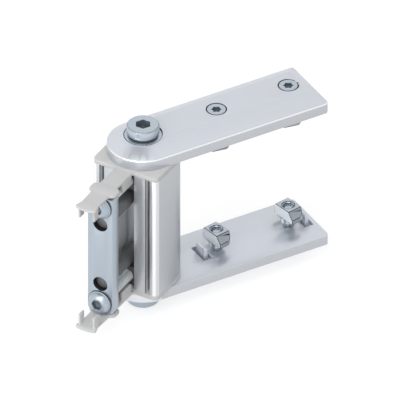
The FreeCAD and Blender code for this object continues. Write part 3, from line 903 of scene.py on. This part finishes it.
@dataclass
class SwingArm:
    """A crowned arm with its lugs."""

    stock: Stock
    side: Side
    axis: float = PIVOT_X
    swing: float = REST_SWING
    edge: float = 0.4
    bearing: float = 12.0
    ring: float = 6.5
    ring_floor: float = 57.2
    ring_depth: float = 5.0
    seat: float = 45.0
    rim: float = 52.0
    rim_height: float = 1.0
    side_lean: float = 0.2
    far_lean: float = 0.1
    arris_lean: tuple[float, float] = (0.15, 0.8)

    def build(self) -> None:
        """Round the arm's edges and finish it."""
        node = f"{self.side.value}_arm"
        arm = self.stock.copy_of(node, f"{self.side.value}_crowned_arm")
        Bench.softened(arm, self.edge)
        self.stock.coat(
            arm,
            SATIN,
            {
                # Painted shade on the narrow sides
                SHADED_ARM_SIDE: self.on_side,
                # Painted light on the sides of the lower arm's round end
                LIT_ARM_END: lambda spot, normal: self.on_side(spot, normal) and self.on_low_end(spot),
                # Painted highlight along the rounding below the crown
                ARRIS_HIGHLIGHT: self.on_arris,
                # Painted shade in the gaps round the bush and the countersunk heads
                GAP_SHADE: self.in_gap,
            },
        )
        self.stock.fit(arm, node, SATIN)

    def on_arm(self, x: float, y: float) -> tuple[float, float]:
        """A way along X and Y as a way along the arm and across it."""
        turn = math.radians(self.swing)
        return (
            x * math.cos(turn) + y * math.sin(turn),
            y * math.cos(turn) - x * math.sin(turn),
        )

    def on_side(self, spot: Vector, normal: Vector) -> bool:
        """Whether a face is on the arm's narrow sides."""
        return abs(normal.z) < self.side_lean and self.seat < abs(spot.z) < self.rim

    def on_low_end(self, spot: Vector) -> bool:
        """Whether a spot is on the round end of the lower arm, which the photograph shows pale."""
        along, _ = self.on_arm(spot.x - self.axis, spot.y)
        return self.side is Side.LOWER and along < 0.0

    def on_arris(self, spot: Vector, normal: Vector) -> bool:
        """Whether a face is on the rounding below the crown, along all sides but the far one, where
        the highlight is painted.
        """
        _, across = self.on_arm(normal.x, normal.y)
        least, most = self.arris_lean
        on_rim = least < abs(normal.z) < most and abs(abs(spot.z) - self.rim) < self.rim_height
        return on_rim and across <= self.far_lean and not self.on_low_end(spot)

    def in_gap(self, spot: Vector, normal: Vector) -> bool:
        """Whether a face is in the gap round the bush or round a countersunk head."""
        if abs(normal.z) > FACING and abs(spot.z) > self.ring_floor:
            return False
        along, across = self.on_arm(spot.x - self.axis, spot.y)
        if math.hypot(along, across) < self.bearing:
            return True
        nearest = min(math.hypot(along - end.value, across) for end in End)
        return abs(spot.z) > self.ring_floor - self.ring_depth and nearest < self.ring


def corner_reach(across: float) -> float:
    """Distance of a hexagon's corners from its middle, from its size across the flats."""
    return across / 2 / math.cos(math.pi / HEXAGON)


@dataclass
class PivotBearing:
    """The bush that an arm turns on, the washer under it, and the screw that holds both."""

    stock: Stock
    side: Side
    axis: float = PIVOT_X
    crown: float = ARM_CROWN
    head: float = 19.8
    head_height: float = 7.7
    head_foot: float = 1.5
    head_undercut: float = 0.35
    head_chamfer: float = 0.7
    chamfer_lean: tuple[float, float] = (0.3, 0.95)
    thread: float = 12.0
    length: float = 27.3
    point: float = 1.0
    socket: float = 8.5
    socket_depth: float = 4.6
    socket_lip: float = 0.3
    edge: float = 0.25

    def build(self) -> None:
        """Make the three pieces."""
        name = self.side.value
        self.stock.rounded(f"{name}_flange_bush", f"{name}_bush", self.edge, ZINC)
        self.stock.dress(f"{name}_thrust_washer", ZINC)
        screw = self.stock.repeated(name, "socket_head_screw", self.screw)
        foot = self.crown + self.head_foot + self.head_undercut
        top = self.crown + self.head_height
        reach = corner_reach(self.socket)
        least, most = self.chamfer_lean
        self.stock.coat(
            screw,
            self.plate,
            {
                # Painted shade inside the socket
                RECESS_SHADE: lambda spot, _: spot.xy.length < reach
                and self.crown < spot.z < top - self.socket_lip,
                # Painted shade at the foot of the head
                EDGE_SHADE: lambda spot, _: spot.xy.length > reach and spot.z < foot,
                # Painted shade on the chamfer round the top
                SHADED_ZINC: lambda spot, normal: spot.z > foot
                and spot.xy.length > reach
                and least < normal.z < most,
            },
        )
        Bench.placed(screw, (self.axis, 0, 0), (0 if self.side is Side.UPPER else 180, 0, 0))
        self.stock.fit(screw, f"{name}_pivot_screw", self.plate)

    @property
    def plate(self) -> Finish:
        """The screw's plating; the lower screw gets the darker bar plating as painted shade, where
        the arm above keeps the light off.
        """
        return ZINC if self.side is Side.UPPER else PLATED

    def screw(self, name: str) -> bpy.types.Object:
        """Socket head screw, modelled upright about Z.

        Args:
            name: Its name.

        Returns:
            The screw.
        """
        tip = self.crown - self.length
        top = self.crown + self.head_height
        waist = self.head / 2 - self.head_undercut
        foot = self.crown + self.head_foot
        screw = Bench.turned(
            name,
            [
                (0.0, tip),
                (self.thread / 2 - self.point, tip),
                (self.thread / 2, tip + self.point),
                (self.thread / 2, self.crown),
                (waist, self.crown),
                (waist, foot),
                (self.head / 2, foot + self.head_undercut),
                (self.head / 2, top - self.head_chamfer),
                (self.head / 2 - self.head_chamfer, top),
                (0.0, top),
            ],
        )
        Bench.socketed(screw, corner_reach(self.socket), top - self.socket_depth, top)
        Bench.softened(screw, self.edge)
        return screw


@dataclass
class ArmScrew:
    """A countersunk six-lobe screw with its hammer nut."""

    stock: Stock
    side: Side
    end: End
    axis: float = PIVOT_X
    swing: float = REST_SWING
    top: float = 57.45
    length: float = 24.8
    head: float = 11.4
    land: float = 0.4
    margin: float = 0.1
    overlap: float = 1.5
    thread: float = 6.0
    pitch: float = 1.0
    point: float = 1.0
    lobes: float = 6.7
    hollow: float = 4.8
    lobe_count: int = 6
    lobe_rounding: float = 0.42
    lobe_steps: int = 3
    socket_depth: float = 2.6
    socket_lip: float = 0.15
    edge: float = 0.12
    nut_edge: float = 0.3
    nut_edge_angle: float = 20.0
    nut_turn: float = 10.0
    side_lean: float = 0.97
    flank_lean: tuple[float, float] = (0.3, 0.8)

    def build(self) -> None:
        """Make the screw and the nut."""
        name = f"{self.side.value}_{self.end.word}"
        reach = math.radians(self.swing)
        spot = (
            self.axis + self.end.value * math.cos(reach),
            self.end.value * math.sin(reach),
            0,
        )
        screw = self.stock.repeated(name, "countersunk_screw", self.screw)
        Bench.placed(screw, spot, (0 if self.side is Side.UPPER else 180, 0, self.swing))
        self.stock.fit(screw, f"{name}_arm_screw", ZINC)
        nut = self.stock.copy_of(f"{name}_hammer_nut", f"{name}_slot_nut", whole=False)
        turn = math.radians(self.swing - self.side.sign * self.nut_turn)
        side = Vector((math.cos(turn), math.sin(turn), 0.0))
        sideways, upwards = self.flank_lean
        self.stock.coat(
            nut,
            ZINC,
            {
                # Painted shade on the nut's rounded edges, which the rounding below gets
                EDGE_SHADE: lambda *_: False,
                # Painted highlight on the nut's narrow sides
                HIGHLIGHT_ZINC: lambda _, normal: abs(normal @ side) > self.side_lean,
                # Painted shade on the nut's flanks
                SHADED_ZINC: lambda _, normal: abs(normal @ side) < sideways
                and abs(normal.z) < upwards,
            },
        )
        # The rounding gets the finish that no face has yet, number 1: the painted edge shade
        Bench.softened(nut, self.nut_edge, angle=self.nut_edge_angle, skin=1)
        self.stock.fit(nut, f"{name}_hammer_nut", ZINC)

    def screw(self, name: str) -> bpy.types.Object:
        """Countersunk screw, modelled upright about Z.

        Args:
            name: Its name.

        Returns:
            The screw, finished.
        """
        neck = self.top - self.land - (self.head - self.thread) / 2
        floor = self.top - self.socket_depth
        head = Bench.turned(
            name,
            [
                (0.0, neck - self.overlap),
                (self.thread / 2, neck - self.overlap),
                (self.thread / 2, neck),
                (self.head / 2, self.top - self.land),
                (self.head / 2, self.top),
                (0.0, self.top),
            ],
            steps=SMALL_ROUND,
        )
        Bench.combine(head, self.key(), Cut.AWAY)
        Bench.softened(head, self.edge)
        shank = Bench.shank(
            self.thread / 2, self.pitch, self.top - self.length, neck - self.point, self.point
        )
        screw = Bench.joined(head, shank)
        self.stock.coat(
            screw,
            ZINC,
            {
                # Painted shade inside the socket
                RECESS_SHADE: lambda spot, _: spot.xy.length < self.lobes / 2
                and floor - self.margin < spot.z < self.top - self.socket_lip,
                # Painted shade round the rim of the head
                GAP_SHADE: lambda spot, _: spot.xy.length > self.head / 2 - self.margin
                and spot.z < self.top - self.margin,
            },
        )
        return screw

    def key(self) -> bpy.types.Object:
        """Six-lobe key that cuts the socket.

        Returns:
            The key, about Z.
        """
        floor = self.top - self.socket_depth
        sector = 360 / self.lobe_count
        sides = 2 * self.lobe_count
        key = Bench.prism("key", sides, self.lobes / 2, floor, self.top + KEY_ROOM)
        Bench.edit()
        bpy.ops.mesh.select_all(action="DESELECT")
        bpy.ops.object.mode_set(mode="OBJECT")
        for vertex in key.data.vertices:
            angle = math.degrees(math.atan2(vertex.co.x, vertex.co.y)) % sector
            vertex.select = abs(angle - sector / 2) < sector / 4
        bpy.ops.object.mode_set(mode="EDIT")
        ratio = self.hollow / self.lobes
        bpy.ops.transform.resize(value=(ratio, ratio, 1), center_override=(0, 0, self.top * MM))
        bpy.ops.mesh.select_all(action="DESELECT")
        bpy.ops.object.mode_set(mode="OBJECT")
        for edge in key.data.edges:
            ends = [key.data.vertices[number].co for number in edge.vertices]
            edge.select = abs(ends[0].z - ends[1].z) > MM
        bpy.ops.object.mode_set(mode="EDIT")
        bpy.ops.mesh.select_mode(type="EDGE")
        bpy.ops.mesh.bevel(
            offset=self.lobe_rounding * MM, segments=self.lobe_steps, affect="EDGES"
        )
        bpy.ops.object.mode_set(mode="OBJECT")
        return key


@dataclass
class ClampBar:
    """The clamp bar with its two flanged screws, and the guide pins that it slides on."""

    stock: Stock
    face: float = -29.1
    pins: float = 22.0
    pin_hole: float = 5.0
    spacing: float = 35.0
    thread: float = 8.0
    pitch: float = 1.25
    length: float = 40.0
    point: float = 1.3
    root_depth: float = 0.4
    thread_start: float = 2.5
    overlap: float = 2.0
    flange: float = 16.0
    flange_height: float = 1.0
    flange_line: float = 0.28
    dome: Profile = field(
        default_factory=lambda: [
            (7.1, 1.0), (6.95, 1.9), (6.5, 2.8), (5.9, 3.45), (5.1, 4.0), (4.2, 4.4)
        ]
    )
    socket: float = 6.2
    socket_depth: float = 2.9
    socket_lip: float = 0.25
    edge: float = 0.2
    head_edge: float = 0.15

    def build(self) -> None:
        """Make the bar, the screws and the pins."""
        bar = self.stock.copy_of("clamp_bar", "steel_clamp_bar")
        Bench.softened(bar, self.edge)
        # Painted shade on the walls of the guide holes
        self.stock.coat(bar, PLATED, {GAP_SHADE: self.in_pin_hole})
        self.stock.fit(bar, "clamp_bar", PLATED)
        for side in Side:
            name = side.value
            screw = self.stock.repeated(name, "flanged_screw", self.screw)
            Bench.placed(screw, (self.face, 0, side.sign * self.spacing), (0, -90, 0))
            self.stock.fit(screw, f"{name}_clamp_screw", PLATED)
            self.stock.rounded(f"{name}_guide_pin", f"{name}_dowel", self.edge, BLACKENED)

    def in_pin_hole(self, spot: Vector, normal: Vector) -> bool:
        """Whether a face is on the wall of one of the bar's guide holes."""
        off_axis = math.hypot(spot.y, abs(spot.z) - self.pins)
        return abs(normal.x) < LEANING and off_axis < self.pin_hole

    def screw(self, name: str) -> bpy.types.Object:
        """Flanged button head screw, modelled upright about Z with its flange on the ground.

        Args:
            name: Its name.

        Returns:
            The screw, finished.
        """
        top = self.dome[-1][1]
        head = Bench.turned(
            name,
            [
                (0.0, -self.overlap),
                (self.thread / 2, -self.overlap),
                (self.thread / 2, 0.0),
                (self.flange / 2, 0.0),
                (self.flange / 2, self.flange_height),
                (self.flange / 2 - self.flange_line, self.flange_height),
                *self.dome,
                (0.0, top),
            ],
            steps=SMALL_ROUND,
        )
        reach = corner_reach(self.socket)
        Bench.socketed(head, reach, top - self.socket_depth, top)
        Bench.softened(head, self.head_edge)
        shank = Bench.shank(
            self.thread / 2, self.pitch, -self.length, -self.overlap / 2, self.point
        )
        screw = Bench.joined(head, shank)
        root = self.thread / 2 - self.root_depth
        self.stock.coat(
            screw,
            PLATED,
            {
                # Painted shade inside the socket
                RECESS_SHADE: lambda spot, _: spot.xy.length < reach
                and 0 < spot.z < top - self.socket_lip,
                # Painted shade round the edge of the flange
                EDGE_SHADE: lambda spot, _: spot.xy.length > self.flange / 2 - self.flange_line,
                # Painted shade in the thread roots
                SHADED_ZINC: lambda spot, _: spot.z < -self.thread_start and spot.xy.length < root,
                # Painted highlight on the thread crests
                HIGHLIGHT_ZINC: lambda spot, _: spot.z < -self.thread_start and spot.xy.length > root,
            },
        )
        return screw


@dataclass(frozen=True)
class Lamp:
    """A square soft lamp: its name, place and side in millimetres, and its power in watts."""

    name: str
    spot: Triple
    size: float
    power: float

    def hang(self, target: Vector) -> None:
        """Hang the lamp so that it faces a spot."""
        bpy.ops.object.select_all(action="DESELECT")
        bpy.ops.object.light_add(type="AREA", location=Vector(self.spot) * MM)
        lamp = bpy.context.object
        lamp.name = f"{self.name}_lamp"
        lamp.data.size = self.size * MM
        lamp.data.energy = self.power
        lamp.rotation_euler = (target - Vector(self.spot)).to_track_quat("-Z", "Y").to_euler()


@dataclass
class Studio:
    """The floor, the light and the camera. Lengths are in millimetres."""

    floor_height: float = -65.0
    floor_size: float = 6000.0
    target: Vector = field(default_factory=lambda: Vector((PIVOT_X, 0.0, 0.0)))
    right_of_target: float = 34.3
    above_target: float = 6.9
    azimuth: float = -60.0
    elevation: float = 35.264
    view_width: float = 241.0
    distance: float = 1500.0
    sight: float = 20000.0
    world_light: float = 0.68
    ceiling: Vector = field(default_factory=lambda: Vector((-0.10, 0.12, 0.987)))
    ceiling_edge: tuple[float, float] = (0.90, 0.985)
    ceiling_light: float = 0.05
    floor_shade: Colour = (0.5, 0.5, 0.5)
    floor_roughness: float = 0.9
    floor_glow: float = 0.65
    lamps: tuple[Lamp, ...] = (
        Lamp("key", (-700, -250, 1000), 900, 4.0),
        Lamp("fill", (-900, 100, 250), 700, 3.6),
    )

    def build(self) -> None:
        """Make the floor, the world, the lamps and the camera."""
        bpy.context.scene.view_settings.view_transform = "Standard"
        self.floor()
        self.world()
        for lamp in self.lamps:
            lamp.hang(self.target)
        self.camera()

    def floor(self) -> None:
        """Lay a pale floor that shows white and keeps a faint shadow."""
        bpy.ops.object.select_all(action="DESELECT")
        bpy.ops.mesh.primitive_plane_add(
            size=self.floor_size * MM, location=(0, 0, self.floor_height * MM)
        )
        floor = Bench.fresh("studio_floor")
        material = bpy.data.materials.new("pale_floor")
        shop = Mixing(material)
        shader = shop.node(
            "ShaderNodeBsdfPrincipled",
            {},
            {
                "Base Color": (*self.floor_shade, 1.0),
                "Roughness": self.floor_roughness,
                "Emission Color": WHITE,
                "Emission Strength": self.seen(shop) * self.floor_glow,
            },
        )
        shop.surface(shader)
        floor.data.materials.append(material)

    @staticmethod
    def seen(shop: Mixing) -> Wire:
        """1 for rays that show the background directly, in a reflection or through a piece.

        Args:
            shop: The node tree to add to.

        Returns:
            The mask.
        """
        path = "ShaderNodeLightPath"
        camera = shop.node(path, output="Is Camera Ray")
        glossy = shop.node(path, output="Is Glossy Ray")
        through = shop.node(path, output="Is Transmission Ray")
        return shop.sum_of("MAXIMUM", camera, shop.sum_of("MAXIMUM", glossy, through))

    def world(self) -> None:
        """Light the piece from all round but the ceiling, and show white behind it."""
        world = bpy.data.worlds.new("white_studio")
        bpy.context.scene.world = world
        shop = Mixing(world)
        strength = self.seen(shop) * (1.0 - self.world_light) + self.world_light
        way = shop.node("ShaderNodeTexCoord", output="Generated")
        overhead = shop.node(
            "ShaderNodeVectorMath",
            {"operation": "DOT_PRODUCT"},
            {0: way, 1: self.ceiling},
            output="Value",
        )
        low, high = self.ceiling_edge
        ramp = {"From Min": low, "From Max": high, "To Min": 1.0, "To Max": self.ceiling_light}
        opening = shop.node(
            "ShaderNodeMapRange",
            {"interpolation_type": "SMOOTHSTEP"},
            {"Value": overhead, **ramp},
        )
        light = {"Color": WHITE, "Strength": strength * opening}
        sky = shop.node("ShaderNodeBackground", {}, light)
        shop.surface(sky, "ShaderNodeOutputWorld")

    def camera(self) -> None:
        """Set the camera for a parallel view at the photograph's angle."""
        turn = math.radians(self.azimuth)
        rise = math.radians(self.elevation)
        forward = Vector(
            (-math.sin(turn) * math.cos(rise), math.cos(turn) * math.cos(rise), -math.sin(rise))
        )
        right = forward.cross(Vector((0, 0, 1))).normalized()
        up = right.cross(forward)
        middle = self.target + right * self.right_of_target + up * self.above_target
        bpy.ops.object.camera_add(location=(middle - forward * self.distance) * MM)
        camera = bpy.context.object
        camera.name = "studio_camera"
        camera.rotation_euler = Matrix((right, up, -forward)).transposed().to_euler()
        camera.data.type = "ORTHO"
        camera.data.ortho_scale = self.view_width * MM
        camera.data.clip_end = self.sight * MM
        bpy.context.scene.camera = camera


def main() -> None:
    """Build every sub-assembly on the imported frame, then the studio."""
    logging.basicConfig(level=logging.INFO, format="%(name)s: %(message)s")
    stock = Stock(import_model())
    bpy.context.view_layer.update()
    assemblies: list[Any] = [Column(stock), ClampBar(stock)]
    for side in Side:
        assemblies += [EndCap(stock, side), SwingArm(stock, side), PivotBearing(stock, side)]
        assemblies += [ArmScrew(stock, side, end) for end in End]
    for assembly in assemblies:
        assembly.build()
    Studio().build()


if __name__ == "__main__":
    main()
